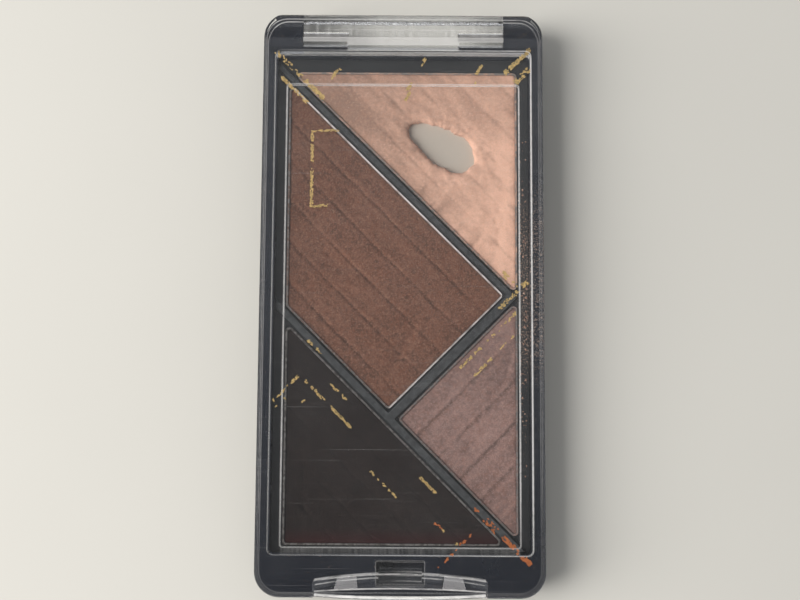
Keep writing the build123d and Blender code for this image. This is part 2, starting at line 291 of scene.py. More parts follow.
def powder_cake(colour, look):
    """Pressed powder filling its pan: rings that shrink from the pan's wall to the middle,
    middle + r (outline - middle), at the height powder_surface gives, closed by a wall and a floor."""
    node = f"powder_{colour}"
    count, rings = look.cake_columns, look.cake_rings
    outline = outline_of(node, count) / MM
    (_, _, floor), (_, _, level) = box_of(node)
    if colour == "peach":
        centre = np.array(look.worn_centre) / MM
        spokes = outline - centre
        angle = np.arctan2(spokes[:, 1], spokes[:, 0]) - math.radians(look.worn_turn)
        reach = worn_reach(angle, look)
        inner = centre + spokes / np.hypot(*spokes.T)[:, None] * reach[:, None]
    else:
        centre = middle_of(outline)
        inner = centre + (outline - centre) * (0.5 / rings)
    r = np.linspace(0.0, 1.0, rings)[:, None, None]
    plan = inner[None] * (1 - r) + outline[None] * r
    x, y = plan[..., 0], plan[..., 1]
    depth, tone = powder_surface(colour, x, y, look)
    to_wall = (1 - r[..., 0]) * np.hypot(*(outline - inner).T)[None]
    depth = depth + 0.05 * np.exp(-to_wall / 0.25) * (1.2 + swirl(x, y, 0.7, 19))
    # Painted shade: the powder is darker close to the pan's wall
    tone = tone - 0.10 * np.exp(-to_wall / 0.4)
    if colour == "peach":
        to_spot = r[..., 0] * np.hypot(*(outline - inner).T)[None]
        depth = depth + 0.62 * np.exp(-to_spot / 0.28) + 0.10 * np.exp(-to_spot / 2.0)
        tone = tone + 0.04 * np.exp(-to_spot / 1.2)
        # Painted light: the peach powder grows lighter towards the right and the front
        tone = tone + 0.012 * (x - 8) - 0.010 * (y - 24)
    top = np.dstack([x, y, np.minimum(level - depth, level)])
    wall = np.dstack([outline[None], np.full((1, count, 1), floor)])
    lead_in = np.dstack([inner[None], np.full((1, count, 1), floor)])
    grid = np.concatenate([top, wall, lead_in])
    if colour == "peach":
        points = grid.reshape(-1, 3)
        faces = grid_faces(len(grid), count, True)
        tones = np.concatenate([tone, tone[-1:], tone[:1]]).ravel()
    else:
        crown = np.append(centre, top[0, :, 2].mean())
        foot = np.append(centre, floor)
        points = np.vstack([crown, grid.reshape(-1, 3), foot])
        faces = capped_faces(len(grid), count)
        tones = np.concatenate([tone[0, :1], tone.ravel(), tone[-1], tone[0], tone[0, :1]])
    piece = new_piece(f"pressed_powder_{colour}", points * MM, faces, "base", 35, tones)
    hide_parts(node)
    return piece


# Edge of the worn spot as (degrees round its middle, share of its half length): a leaf with a blunt end
WORN_EDGE = [(-175, 0.93), (-162, 0.79), (-146, 0.59), (-116, 0.46), (-81, 0.51), (-48, 0.64), (-31, 0.87),
             (-21, 0.975), (-11, 1.0), (1, 1.03), (15, 0.93), (29, 0.83), (67, 0.485), (110, 0.455),
             (137, 0.53), (168, 0.82), (178, 0.94)]


def worn_reach(angle, look):
    """Edge of the spot worn through to the metal, from its middle: straight steps between the points of
    WORN_EDGE, ragged by a few small waves a sin(n angle)."""
    turns, shares = np.array(WORN_EDGE, float).T
    leaf = np.interp(angle, np.radians(turns), shares, period=2 * np.pi)
    waves = 0.010 * np.sin(9 * angle + 1.0) + 0.008 * np.sin(17 * angle) + 0.006 * np.sin(29 * angle + 2.0)
    return look.worn_length / MM / 2 * (leaf + waves)


# Worn printed lines on the lid, in millimetres: slope, y where x would be 0, x from and to, line width,
# share still there
GOLD_LINES = [
    (-1, 21.0, -21.9, -13.2, 0.75, 0.62),
    (-1, 17.5, -20.8, -16.3, 0.55, 0.66),
    (1, 21.7, 17.4, 21.8, 0.75, 0.62),
    (1, 18.3, 19.2, 21.7, 0.95, 0.58),
    (1, -17.9, 16.4, 20.2, 0.62, 0.55),
    (1, -18.2, 19.0, 21.2, 1.20, 0.46),
    (-1, 21.6, 16.0, 20.6, 0.80, 0.45),
    (1, -21.35, 9.8, 19.2, 0.42, 0.55),
    (1, -24.95, 12.2, 18.8, 0.42, 0.60),
    (-1, -22.6, -15.6, -12.7, 0.45, 0.45),
    (-1, -26.1, -15.0, -9.0, 0.45, 0.35),
    (-1, -29.8, -16.0, -8.2, 0.42, 0.45),
    (1, 4.2, -21.3, -17.2, 0.45, 0.55),
    (1, 2.6, -21.0, -19.0, 0.35, 0.35),
    (1, -1.0, -16.6, -14.2, 0.40, 0.35),
    (-1, -33.6, -5.0, -0.7, 0.40, 0.60),
    (-1, -26.4, 3.2, 5.8, 0.40, 0.55),
    (-1, -31.2, 3.0, 9.6, 0.32, 0.22),
    (-1, -23.2, -3.2, 1.2, 0.30, 0.15),
    (-1, -29.3, -12.0, -4.0, 0.30, 0.12),
]
# Short steeper strokes by the back edge: x and y of the lower end, length, share still there
GOLD_STROKES = [
    (0.3, 34.2, 1.9, 0.75),
    (0.7, 36.0, 1.6, 0.85),
    (-14.0, 35.0, 2.2, 0.25),
    (-12.2, 38.0, 1.9, 0.60),
    (-10.9, 39.5, 1.0, 0.35),
    (-3.6, 39.4, 2.3, 0.30),
    (3.0, 40.3, 1.6, 0.55),
    (11.8, 36.6, 1.2, 0.45),
    (12.6, 39.0, 1.9, 0.60),
    (16.2, 36.2, 1.6, 0.35),
]
ORANGE_LINES = [
    (-1, -22.35, 16.6, 21.4, 0.75, 0.62),
    (-1, -22.5, 13.9, 15.8, 0.95, 0.56),
    (-1, -22.6, 11.6, 12.8, 0.70, 0.30),
    (1, -50.6, 6.0, 11.6, 0.45, 0.28),
    (-1, -31.3, 5.2, 6.8, 0.40, 0.38),
]


def flakes_along(lines, flake, rng):
    """Centre, direction and half sizes of the flakes left of each line. Places are drawn at random
    over the line's whole width, one for each `flake` squared / 3, and a flake is kept where smooth
    noise in both directions stays under the share still there, so that it wears off in patches."""
    rows = []
    for start, end, width, share in lines:
        start, end = np.array(start, float), np.array(end, float)
        run = np.hypot(*(end - start))
        heading = (end - start) / run
        count = int(run * width * 3 / flake ** 2)
        place, offset = rng.uniform(0, run, count), rng.uniform(-0.5, 0.5, count) * width
        centre = start + place[:, None] * heading + offset[:, None] * np.array([-heading[1], heading[0]])
        patch = 0.30 * swirl(*centre.T, 1.5, 23) + 0.30 * swirl(*centre.T, 0.45, 24) + 0.5
        kept = patch < share - 0.10 * np.abs(offset) / width + rng.normal(0, 0.05, count)
        turn = math.atan2(heading[1], heading[0]) + rng.normal(0, 0.35, count)
        long_half = flake * rng.uniform(0.40, 1.00, count)
        wide_half = np.minimum(flake * rng.uniform(0.25, 0.55, count), width / 2)
        rows.append(np.column_stack([centre, turn, long_half, wide_half])[kept])
    return np.vstack(rows)


def foil_flakes(name, rows, top, thickness, rng):
    """Thin closed flakes lying just inside the lid's top face. Each is a ring of eight points,
    centre + (a cos t, b sin t) times a ragged radius, at two heights, with a middle point at each."""
    count, n = 8, len(rows)
    t = np.linspace(0, 2 * math.pi, count, endpoint=False)[None]
    ragged = rng.uniform(0.62, 1.12, (n, count))
    along = rows[:, 3:4] * np.cos(t) * ragged
    over = rows[:, 4:5] * np.sin(t) * ragged
    c, s = np.cos(rows[:, 2:3]), np.sin(rows[:, 2:3])
    x, y = rows[:, 0:1] + along * c - over * s, rows[:, 1:2] + along * s + over * c
    levels = top - rng.uniform(0.0, 0.006, (n, 1))
    rim = np.dstack([x, y, np.broadcast_to(levels, x.shape)])
    foot = rim - np.array([0.0, 0.0, thickness])
    crown = np.column_stack([rows[:, :2], levels])[:, None]
    points = np.concatenate([crown, rim, foot, crown - np.array([0.0, 0.0, thickness])], axis=1)
    one = capped_faces(2, count)
    faces = (one[None] + (np.arange(n) * (2 * count + 2))[:, None, None]).reshape(-1, 3)
    return new_piece(name, points.reshape(-1, 3) * MM, faces, "lid")


def line_ends(rows):
    """Start and end points of printed lines, y = cross + slope x between two values of x."""
    return [((x0, cross + slope * x0), (x1, cross + slope * x1), width, share)
            for slope, cross, x0, x1, width, share in rows]


def crumbs(name, centres, sizes, body, rng):
    """Loose crumbs: six points of an octahedron, each pushed out by a random amount, flattened and
    set on the surface below them."""
    spikes = np.array([(1, 0, 0), (0, 1, 0), (-1, 0, 0), (0, -1, 0), (0, 0, 0.7), (0, 0, -0.3)], float)
    n = len(centres)
    grown = spikes[None] * rng.uniform(0.55, 1.15, (n, 6, 1)) * sizes[:, None, None]
    points = centres[:, None] + grown
    one = np.array([(0, 1, 4), (1, 2, 4), (2, 3, 4), (3, 0, 4), (1, 0, 5), (2, 1, 5), (3, 2, 5), (0, 3, 5)])
    faces = (one[None] + (np.arange(n) * 6)[:, None, None]).reshape(-1, 3)
    return new_piece(name, points.reshape(-1, 3) * MM, faces, body)


# ---------------------------------------------------------------- finishes

class Finish:
    """One node material, built from left to right. Patterns are in millimetres on Object coordinates."""

    def __init__(self, name):
        self.material = bpy.data.materials.new(name)
        self.material.use_nodes = True
        self.tree = self.material.node_tree
        self.shader = self.tree.nodes["Principled BSDF"]
        self.output = self.tree.nodes["Material Output"]
        self.place = self.new("TexCoord").outputs["Object"]

    def new(self, kind, **settings):
        """A shader node of one kind with some of its own settings."""
        node = self.tree.nodes.new(f"ShaderNode{kind}")
        for key, value in settings.items():
            setattr(node, key, value)
        return node

    def feed(self, socket, value):
        """Sets a socket to a value, or links it to another socket."""
        if isinstance(value, bpy.types.NodeSocket):
            self.tree.links.new(value, socket)
        elif value is not None:
            socket.default_value = value

    def fill(self, node, **values):
        """Values on a node's sockets, by their names with underscores."""
        for key, value in values.items():
            self.feed(node.inputs[key.replace("_", " ")], value)

    def set(self, **values):
        """Values on the shader's own sockets."""
        self.fill(self.shader, **values)

    def spot(self, stretch=(1, 1, 1), turn=0.0):
        """Object coordinates in millimetres, turned about Z and stretched."""
        node = self.new("Mapping", vector_type="POINT")
        scale = [s / MM for s in stretch]
        self.fill(node, Rotation=(0, 0, math.radians(turn)), Scale=scale, Vector=self.place)
        return node.outputs["Vector"]

    def noise(self, scale, detail=2.0, rough=0.5, stretch=(1, 1, 1), turn=0.0, warp=0.0):
        """Cloudy pattern with features of about 1 / scale millimetres."""
        node = self.new("TexNoise")
        self.fill(node, Scale=scale, Detail=detail, Roughness=rough, Distortion=warp)
        self.fill(node, Vector=self.spot(stretch, turn))
        return node.outputs["Fac"]

    def grains(self, scale):
        """Random value of each cell of about 1 / scale millimetres."""
        node = self.new("TexVoronoi")
        self.fill(node, Scale=scale, Vector=self.spot())
        split = self.new("SeparateColor")
        self.feed(split.inputs[0], node.outputs["Color"])
        return split.outputs[0]

    def axis(self, letter):
        """One of the piece's coordinates in millimetres."""
        node = self.new("SeparateXYZ")
        self.feed(node.inputs[0], self.spot())
        return node.outputs[letter]

    def attribute(self, name):
        """A value kept on the mesh."""
        return self.new("Attribute", attribute_name=name).outputs["Fac"]

    def between(self, value, low, high, to_low=0.0, to_high=1.0, smooth=True):
        """The value's place between low and high, as a smooth step from to_low to to_high."""
        node = self.new("MapRange", interpolation_type="SMOOTHSTEP" if smooth else "LINEAR")
        self.fill(node, Value=value, From_Min=low, From_Max=high, To_Min=to_low, To_Max=to_high)
        return node.outputs["Result"]

    def along(self, letter, *limits, **more):
        """The same for one of the piece's coordinates."""
        return self.between(self.axis(letter), *limits, **more)

    def maths(self, operation, a, b=None):
        """Arithmetic on two values."""
        node = self.new("Math", operation=operation)
        self.feed(node.inputs[0], a)
        self.feed(node.inputs[1], b)
        return node.outputs[0]

    def times(self, a, b):
        """The two values multiplied."""
        return self.maths("MULTIPLY", a, b)

    def most(self, a, b):
        """The larger of two values."""
        return self.maths("MAXIMUM", a, b)

    def ramp(self, value, *stops):
        """Colour by value, from (place, colour) stops."""
        node = self.new("ValToRGB")
        elements = node.color_ramp.elements
        while len(elements) < len(stops):
            elements.new(0.5)
        for element, (place, colour) in zip(elements, stops):
            element.position = place
            element.color = (*colour, 1.0)
        self.feed(node.inputs[0], value)
        return node.outputs["Color"]

    def mix(self, share, a, b):
        """Colour a with b laid over it by a share."""
        node = self.new("Mix", data_type="RGBA")
        self.feed(node.inputs[0], share)
        for index, colour in ((6, a), (7, b)):
            solid = not isinstance(colour, bpy.types.NodeSocket)
            self.feed(node.inputs[index], (*colour, 1.0) if solid else colour)
        return node.outputs[2]

    def outline(self, low, high, radius, width, at_left, at_right):
        """Line along a rounded rectangle between two corners, in millimetres: how near the distance
        |max(|p - c| - h, 0)| comes to the corner radius, times a strength from left to right."""
        half = [(b - a) / 2 - radius for a, b in zip(low, high)]
        step = self.spot()
        for operation, vector in (
            ("MULTIPLY", (1, 1, 0)),
            ("SUBTRACT", ((low[0] + high[0]) / 2, (low[1] + high[1]) / 2, 0)),
            ("ABSOLUTE", None),
            ("SUBTRACT", (*half, 0)),
            ("MAXIMUM", (0, 0, 0)),
        ):
            node = self.new("VectorMath", operation=operation)
            self.feed(node.inputs[0], step)
            self.feed(node.inputs[1], vector)
            step = node.outputs["Vector"]
        length = self.new("VectorMath", operation="LENGTH")
        self.feed(length.inputs[0], step)
        off = self.maths("ABSOLUTE", self.maths("SUBTRACT", length.outputs["Value"], radius))
        near = self.between(off, width / 2, width / 6)
        side = self.along("X", low[0], high[0], at_left, at_right, smooth=False)
        return self.times(near, side)

    def arc(self, peak, rise, half, width, strength):
        """Line along the arc that runs from half to the left, through (0, peak), to half to the right,
        where it is lower by rise: how near |p - c| comes to the radius (half^2 + rise^2) / (2 rise)."""
        radius = (half ** 2 + rise ** 2) / (2 * rise)
        flat = self.new("VectorMath", operation="MULTIPLY")
        reach = self.new("VectorMath", operation="DISTANCE")
        self.feed(flat.inputs[0], self.spot())
        self.feed(flat.inputs[1], (1, 1, 0))
        self.feed(reach.inputs[0], flat.outputs["Vector"])
        self.feed(reach.inputs[1], (0, peak - radius, 0))
        off = self.maths("ABSOLUTE", self.maths("SUBTRACT", reach.outputs["Value"], abs(radius)))
        side = self.maths("ABSOLUTE", self.axis("X"))
        return self.times(self.between(off, width / 2, width / 6),
                          self.between(side, half, half - 0.2, 0.0, strength))

    def block(self, x_half, low, high, fade=0.15):
        """1 inside |x| < x_half and low < y < high, in millimetres, with soft edges."""
        side = self.between(self.maths("ABSOLUTE", self.axis("X")), x_half, x_half - fade)
        y = self.axis("Y")
        inside = self.times(self.between(y, low, low + fade), self.between(y, high, high - fade))
        return self.times(side, inside)

    def bump(self, height, strength, distance, under=None):
        """Fine relief, in millimetres of height."""
        node = self.new("Bump")
        self.fill(node, Strength=strength, Distance=distance * MM, Height=height, Normal=under)
        return node.outputs["Normal"]

    def over(self, share, a, b):
        """Shader a with b laid over it by a share."""
        node = self.new("MixShader")
        for socket, value in zip(node.inputs, (share, a, b)):
            self.feed(socket, value)
        return node.outputs[0]


def wear(node, finish):
    """Gives a CAD node or a piece one finished material."""
    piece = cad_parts[node] if isinstance(node, str) else node
    if not piece.material_slots:
        piece.data.materials.append(finish.material)
    for slot in piece.material_slots:
        slot.material = finish.material


def scratches(finish, turn, amount):
    """Hairline scratches: very stretched noise, cut to its crests, in one direction."""
    streak = finish.noise(0.9, 1.0, 0.4, (0.05, 9.0, 9.0), turn, 0.3)
    return finish.between(streak, 0.76 - amount, 0.80 - amount, smooth=False)


def case_finish(name, colour, rough, dust):
    """Black moulded plastic: smudged gloss, hairline scratches, and light powder dust on its top,
    thickest beside the peach and taupe pans."""
    f = Finish(name)
    smudge = f.noise(0.16, 4.0, 0.6)
    tint = f.noise(0.08, 2.0)
    base = f.mix(tint, tuple(c * 0.75 for c in colour), tuple(c * 1.35 for c in colour))
    right = f.along("X", 19.0, 21.5)
    forward = f.times(f.along("Y", -16.0, -6.0), f.along("Y", 24.0, 8.0))
    zone = f.times(f.times(right, forward), f.along("Z", 1.0, 6.0, 0.25, 1.0))
    specks = f.noise(3.4, 4.0, 0.7)
    sparse = f.between(specks, 0.665, 0.70)
    thick = f.times(f.between(specks, 0.50, 0.64), zone)
    cover = f.times(f.most(sparse, thick), dust)
    f.set(Base_Color=f.mix(cover, base, (0.50, 0.36, 0.28)))
    f.set(Roughness=f.most(f.between(smudge, 0.30, 0.75, rough, rough + 0.22), cover))
    f.set(IOR=1.50)
    grain = f.bump(f.noise(14.0, 3.0, 0.6), 0.25, 0.006)
    f.set(Normal=f.bump(scratches(f, 20, 0.0), 0.35, 0.008, f.bump(specks, 0.12, 0.03, grain)))
    return f


def tray_finish(look):
    """Satin black insert: fine moulded grain, paler where the ridge tops have rubbed, powder dust in
    the corners."""
    f = case_finish("satin_black_tray", look.tray_colour, 0.34, 0.75)
    rubbed = f.along("Z", RIDGE_TOP - 0.08, RIDGE_TOP)
    patchy = f.times(rubbed, f.between(f.noise(1.1, 3.0), 0.30, 0.70, 0.25, 0.85))
    under = f.shader.inputs["Base Color"].links[0].from_socket
    f.set(Base_Color=f.mix(patchy, under, (0.075, 0.078, 0.080)))
    return f


def pan_finish(colour, powder, wiped_bright_sides):
    """Stamped aluminium: brushed grain, cloudy dulling, a matt coated floor, and powder smeared over
    the rim except along the given sides, which are free of powder and carry a painted highlight."""
    f = Finish(f"aluminium_{colour}")
    brushed = f.noise(2.0, 3.0, 0.6, (0.12, 5.0, 5.0), 30)
    cloudy = f.noise(0.5, 3.0)
    metal = f.ramp(cloudy, (0.3, (0.34, 0.31, 0.29)), (0.7, (0.48, 0.45, 0.42)))
    smears = f.between(f.noise(1.6, 4.0, 0.65), 0.40, 0.60)
    high = f.along("Z", PAN_RIM - 0.6, PAN_RIM - 0.05)
    film = f.times(smears, f.between(high, 0.0, 1.0, 0.15, 0.85, smooth=False))
    floor = f.along("Z", PAN_FLOOR + 0.25, PAN_FLOOR + 0.05)
    base = f.mix(floor, f.mix(film, metal, powder), (0.53, 0.47, 0.40))
    stamped = f.along("Z", PAN_FLOOR + 0.05, PAN_FLOOR + 0.25, 0.0, 0.95)
    bare = f.most(f.maths("SUBTRACT", stamped, film), 0.0)
    if wiped_bright_sides:
        across = f.new("SeparateXYZ")
        f.feed(across.inputs[0], f.spot(turn=45))
        far = f.between(across.outputs["Y"], wiped_bright_sides[0] - 0.35, wiped_bright_sides[0] - 0.15)
        near = f.between(across.outputs["X"], wiped_bright_sides[1] - 0.35, wiped_bright_sides[1] - 0.15, 0.0, 0.8)
        clean_and_highlit = f.times(f.most(far, near), f.along("Z", PAN_RIM - 0.2, PAN_RIM - 0.1))
        clean_and_highlit = f.times(clean_and_highlit, f.between(f.noise(0.5, 3.0), 0.30, 0.55, 0.35, 1.0))
        # Painted highlight: a pale, less metallic colour on these sides stands in for a bright line of
        # light along the rim
        base = f.mix(clean_and_highlit, base, (0.78, 0.72, 0.70))
        bare = f.maths("SUBTRACT", bare, f.times(clean_and_highlit, 0.8))
    f.set(Base_Color=base, Metallic=bare)
    f.set(Roughness=f.between(f.maths("ADD", brushed, film), 0.3, 1.3, 0.30, 0.62))
    f.set(Normal=f.bump(brushed, 0.30, 0.010, f.bump(f.noise(7.0, 2.0), 0.25, 0.012)))
    return f


def powder_finish(colour, shades, shimmer, spark, rough, stain=None):
    """Pressed powder: shade by the mesh's own tone, fine grain as strong as `rough`, sparse shimmer
    flakes and a soft nap."""
    f = Finish(f"powder_{colour}")
    tone = f.maths("ADD", f.attribute("tone"), f.between(f.noise(1.8, 4.0, 0.6), 0.3, 0.7, -0.10, 0.10))
    body = f.ramp(tone, (0.05, shades[0]), (0.50, shades[1]), (0.95, shades[2]))
    grain = f.noise(6.5, 4.0, 0.75)
    coarse = f.noise(2.4, 4.0, 0.7)
    warm = f.between(f.noise(1.3, 4.0, 0.7), 0.42, 0.66, 0.0, 0.55 * rough)
    body = f.mix(warm, body, (shades[1][0] * 1.12, shades[1][1] * 0.88, shades[1][2] * 0.74))
    body = f.mix(f.between(grain, 0.40, 0.60, 0.0, 0.62 * rough), body, shades[0])
    body = f.mix(f.between(coarse, 0.52, 0.64, 0.0, 0.70 * rough), body, shades[2])
    flakes = f.between(f.grains(8.0), 1.0 - shimmer, 1.0 - shimmer * 0.6)
    fine = f.times(flakes, f.between(f.noise(2.6, 2.0), 0.40, 0.60, 0.1, 0.55))
    if stain:
        body = f.mix(f.along("Y", stain[1] + 3.2, stain[1] + 0.4, 0.0, 0.9), body, stain[0])
    f.set(Base_Color=f.mix(fine, body, spark))
    f.set(Roughness=f.between(fine, 0.0, 1.0, 0.82, 0.40), Metallic=f.times(fine, 0.5))
    f.set(Specular_IOR_Level=0.25, Sheen_Weight=0.12, Sheen_Roughness=0.5)
    f.set(Normal=f.bump(grain, 0.55 * rough, 0.05, f.bump(f.noise(2.2, 3.0, 0.6), 0.5 * rough, 0.10)))
    return f


def clear_finish(look):
    """Clear styrene: smooth glass that lets the lamps through, with faint scratches and smudges in its
    gloss, a thin milky film that thickens in the smudges, the same film painted in pale lines as
    highlights, and painted grey shade on the thick walls."""
    f = Finish("clear_styrene")
    haze = f.noise(0.10, 3.0, 0.55)
    rub = f.noise(0.9, 4.0, 0.65, (0.35, 1.6, 1.0), -35)
    tray, lid = box_of("pan_tray"), box_of("clear_lid")
    tray_side, tray_back, lip = tray[1][0], tray[1][1], lid[0][1]
    # Painted shade: the plastic is tinted grey where thick walls look grey: the cavity's back wall, and the
    # scoop on either side of the hook
    wall = f.block(tray_side + 1.2, tray_back - 0.3, tray_back + 0.9)
    scoop = (lip + 1.2, lip + 4.2)
    wall = f.most(wall, f.maths("SUBTRACT", f.block(11.8, *scoop), f.block(7.0, *scoop)))
    f.set(Base_Color=f.mix(wall, look.lid_tint, (0.58, 0.59, 0.60)))
    f.set(IOR=look.lid_ior, Transmission_Weight=1.0, Roughness=0.0)
    hair = f.most(scratches(f, 38, 0.0), scratches(f, -52, 0.01))
    f.set(Normal=f.bump(hair, 0.25, 0.004, f.bump(f.noise(0.35, 2.0), 0.05, 0.05)))
    film = f.new("BsdfPrincipled")
    f.fill(film, Base_Color=(0.88, 0.86, 0.84, 1.0), Roughness=0.6)
    patch = f.times(f.between(haze, 0.35, 0.70, 0.4, 1.0), f.between(rub, 0.30, 0.75, 0.5, 1.0))
    cover = f.most(f.times(patch, look.lid_film), f.times(hair, 0.10))
    # Painted highlights: the pale film laid in lines where the moulded steps catch the light along their
    # tiny rounds: window, cavity, top edge and hook
    inside, back, front = box_of("pan_brown")[0][0], box_of("pan_peach")[1][1], box_of("pan_dark")[0][1]
    for low, high, radius, width, at_left, at_right in (
        ((inside, front - 0.1), (-inside, back - 3.5), 0.5, 0.36, 0.27, 0.36),
        ((tray[0][0] - 0.15, tray[0][1] - 0.2), (tray_side + 0.15, tray_back + 0.2), 1.0, 0.30, 0.08, 0.46),
        ((lid[0][0] + 0.55, lip + 1.1), (lid[1][0] - 0.55, lid[1][1] - 1.15), 3.6, 0.26, 0.20, 0.14),
        ((-4.05, lip + 2.6), (4.05, lip + 6.4), 0.3, 0.22, 0.15, 0.17),
    ):
        edge = f.outline(low, high, radius, width, at_left, at_right)
        to_front = f.along("Y", front, front + 12.0, 0.50, 1.0)
        at_back = f.along("Y", 47.0, 48.2, 0.0, 1.2)
        edge = f.times(edge, f.maths("ADD", to_front, at_back))
        cover = f.most(cover, f.times(edge, f.between(rub, 0.25, 0.60, 0.55, 1.0)))
    # Fine tooling marks on the sill between the window's front edge and the cavity's front wall
    marks = f.between(f.noise(1.0, 1.0, 0.5, (5.0, 0.2, 0.2)), 0.35, 0.65, 0.005, 0.04)
    cover = f.most(cover, f.times(f.block(-inside, front - 1.25, front), marks))
    # The hinge block: a painted highlight in a pale band where its front wall rounds over, and upright flow
    # marks behind it
    flow = f.between(f.noise(0.7, 2.0, 0.6, (1.6, 0.12, 0.12)), 0.40, 0.70, 0.02, 0.18)
    cover = f.most(cover, f.times(f.block(BLOCK_HALF, 45.4, 48.4, 0.4), flow))
    for x_half, low in ((BLOCK_HALF, 44.55), (9.7, 43.95)):
        cover = f.most(cover, f.times(f.block(x_half, low, low + 1.0), 0.34))
    # Thumb scoop: painted highlights along its brow, its foot and the lip
    for above_lip, rise, strength in ((4.38, 1.15, 0.34), (1.90, 0.5, 0.46), (0.32, -0.5, 0.80)):
        line = f.arc(lip + above_lip, rise, SCOOP_HALF, 0.40, strength)
        line = f.times(line, f.between(rub, 0.30, 0.60, 0.35, 1.0))
        cover = f.most(cover, line)
    # The milky film together with the painted highlights, laid over the glass
    worn = f.over(cover, f.shader.outputs[0], film.outputs[0])
    clear = f.new("BsdfTransparent")
    f.fill(clear, Color=(0.97, 0.975, 0.98, 1.0))
    to_lamp = f.new("LightPath").outputs["Is Shadow Ray"]
    f.fill(f.output, Surface=f.over(to_lamp, worn, clear.outputs[0]))
    return f


def foil_finish(name, colour, dull):
    """Hot-stamped foil: metal with a crinkled gloss, dulled in patches."""
    f = Finish(name)
    cloudy = f.noise(1.8, 3.0, 0.6)
    f.set(Base_Color=f.ramp(cloudy, (0.3, dull), (0.65, colour)), Metallic=0.55)
    f.set(Roughness=f.between(cloudy, 0.3, 0.7, 0.55, 0.32))
    f.set(Normal=f.bump(f.noise(6.0, 2.0), 0.35, 0.010))
    return f


def steel_finish():
    """Drawn steel wire: fine rings round the pin and a few dull spots."""
    f = Finish("drawn_steel")
    rings = f.noise(4.0, 3.0, 0.6, (6.0, 0.3, 0.3))
    f.set(Base_Color=f.ramp(rings, (0.3, (0.50, 0.46, 0.43)), (0.7, (0.66, 0.63, 0.61))), Metallic=1.0)
    f.set(Roughness=f.between(f.noise(1.5, 3.0), 0.3, 0.7, 0.30, 0.50))
    f.set(Normal=f.bump(rings, 0.3, 0.006))
    return f


def film_finish(name, colour, rough):
    """Printed film or adhesive: faint mottling and paper-like tooth."""
    f = Finish(name)
    mottle = f.noise(1.2, 4.0, 0.6)
    f.set(Base_Color=f.ramp(mottle, (0.3, tuple(c * 0.86 for c in colour)), (0.7, colour)))
    f.set(Roughness=f.between(f.noise(0.4, 3.0), 0.3, 0.7, rough, rough + 0.18))
    f.set(Normal=f.bump(f.noise(9.0, 3.0), 0.2, 0.010))
    return f


def bench_finish(colour):
    """Plain pale bench: almost even, with a slight cloudiness and a soft surface."""
    f = Finish("pale_bench")
    cloudy = f.noise(0.012, 3.0)
    f.set(Base_Color=f.ramp(cloudy, (0.3, tuple(c * 0.97 for c in colour)), (0.7, colour)))
    f.set(Roughness=f.between(f.noise(0.2, 2.0), 0.3, 0.7, 0.80, 0.90), Specular_IOR_Level=0.12)
    return f


# ---------------------------------------------------------------- settings

def a_number(name, description, default, **more):
    """A plain number among the settings."""
    return FloatProperty(name=name, description=description, default=default, **more)


def a_length(name, description, default):
    """A length among the settings, in metres."""
    return a_number(name, description, default, subtype="DISTANCE")


def a_colour(name, description, default):
    """A colour among the settings."""
    return FloatVectorProperty(name=name, description=description, size=3, default=default, subtype="COLOR")


class PowderSettings(PropertyGroup):
    cake_columns: IntProperty(name="Columns", description="Points round each powder", default=420, min=60)
    cake_rings: IntProperty(
        name="Rings", description="Rings from the wall to the middle", default=120, min=12)
    line_pitch: a_length("Line pitch", "Distance between the pressed lines", 5.05 * MM)
    worn_centre: FloatVectorProperty(
        name="Worn spot", description="Middle of the spot worn through the peach powder", size=2,
        default=(6.5 * MM, 28.1 * MM), subtype="TRANSLATION")
    worn_length: a_length("Worn length", "Length of the worn spot", 13.3 * MM)
    worn_turn: a_number("Worn turn", "Tilt of the worn spot in degrees", -31.0)
    peach: a_colour("Peach", "Middle shade of the peach powder", (0.62, 0.375, 0.275))
    brown: a_colour("Brown", "Middle shade of the brown powder", (0.175, 0.082, 0.053))
    taupe: a_colour("Taupe", "Middle shade of the taupe powder", (0.270, 0.168, 0.145))
    dark: a_colour("Dark", "Middle shade of the dark powder", (0.016, 0.0105, 0.009))


class CaseSettings(PropertyGroup):
    case_colour: a_colour("Case", "Colour of the glossy base", (0.008, 0.010, 0.016))
    tray_colour: a_colour("Tray", "Colour of the satin insert", (0.016, 0.017, 0.018))
    label_colour: a_colour("Label", "Colour of the blank label", (0.62, 0.62, 0.60))
    adhesive_colour: a_colour("Adhesive", "Colour of the adhesive pads", (0.72, 0.68, 0.58))
    dust_count: IntProperty(
        name="Crumbs", description="Loose crumbs of powder on the tray", default=260, min=0)


class LidSettings(PropertyGroup):
    lid_tint: a_colour("Tint", "Colour of the clear plastic", (0.955, 0.96, 0.965))
    lid_ior: a_number("Refraction", "Refractive index of the plastic", 1.49)
    lid_film: a_number("Film", "Share of milky film on the plastic", 0.008)
    gold: a_colour("Gold foil", "Bright gold of the printed lines", (0.88, 0.64, 0.27))
    orange: a_colour("Copper foil", "Copper of the printed band", (0.74, 0.25, 0.09))
    foil_depth: a_length("Foil depth", "How far the foil lies inside the lid's top face", 0.008 * MM)
    foil_thickness: a_length("Foil thickness", "Thickness of a flake", 0.02 * MM)


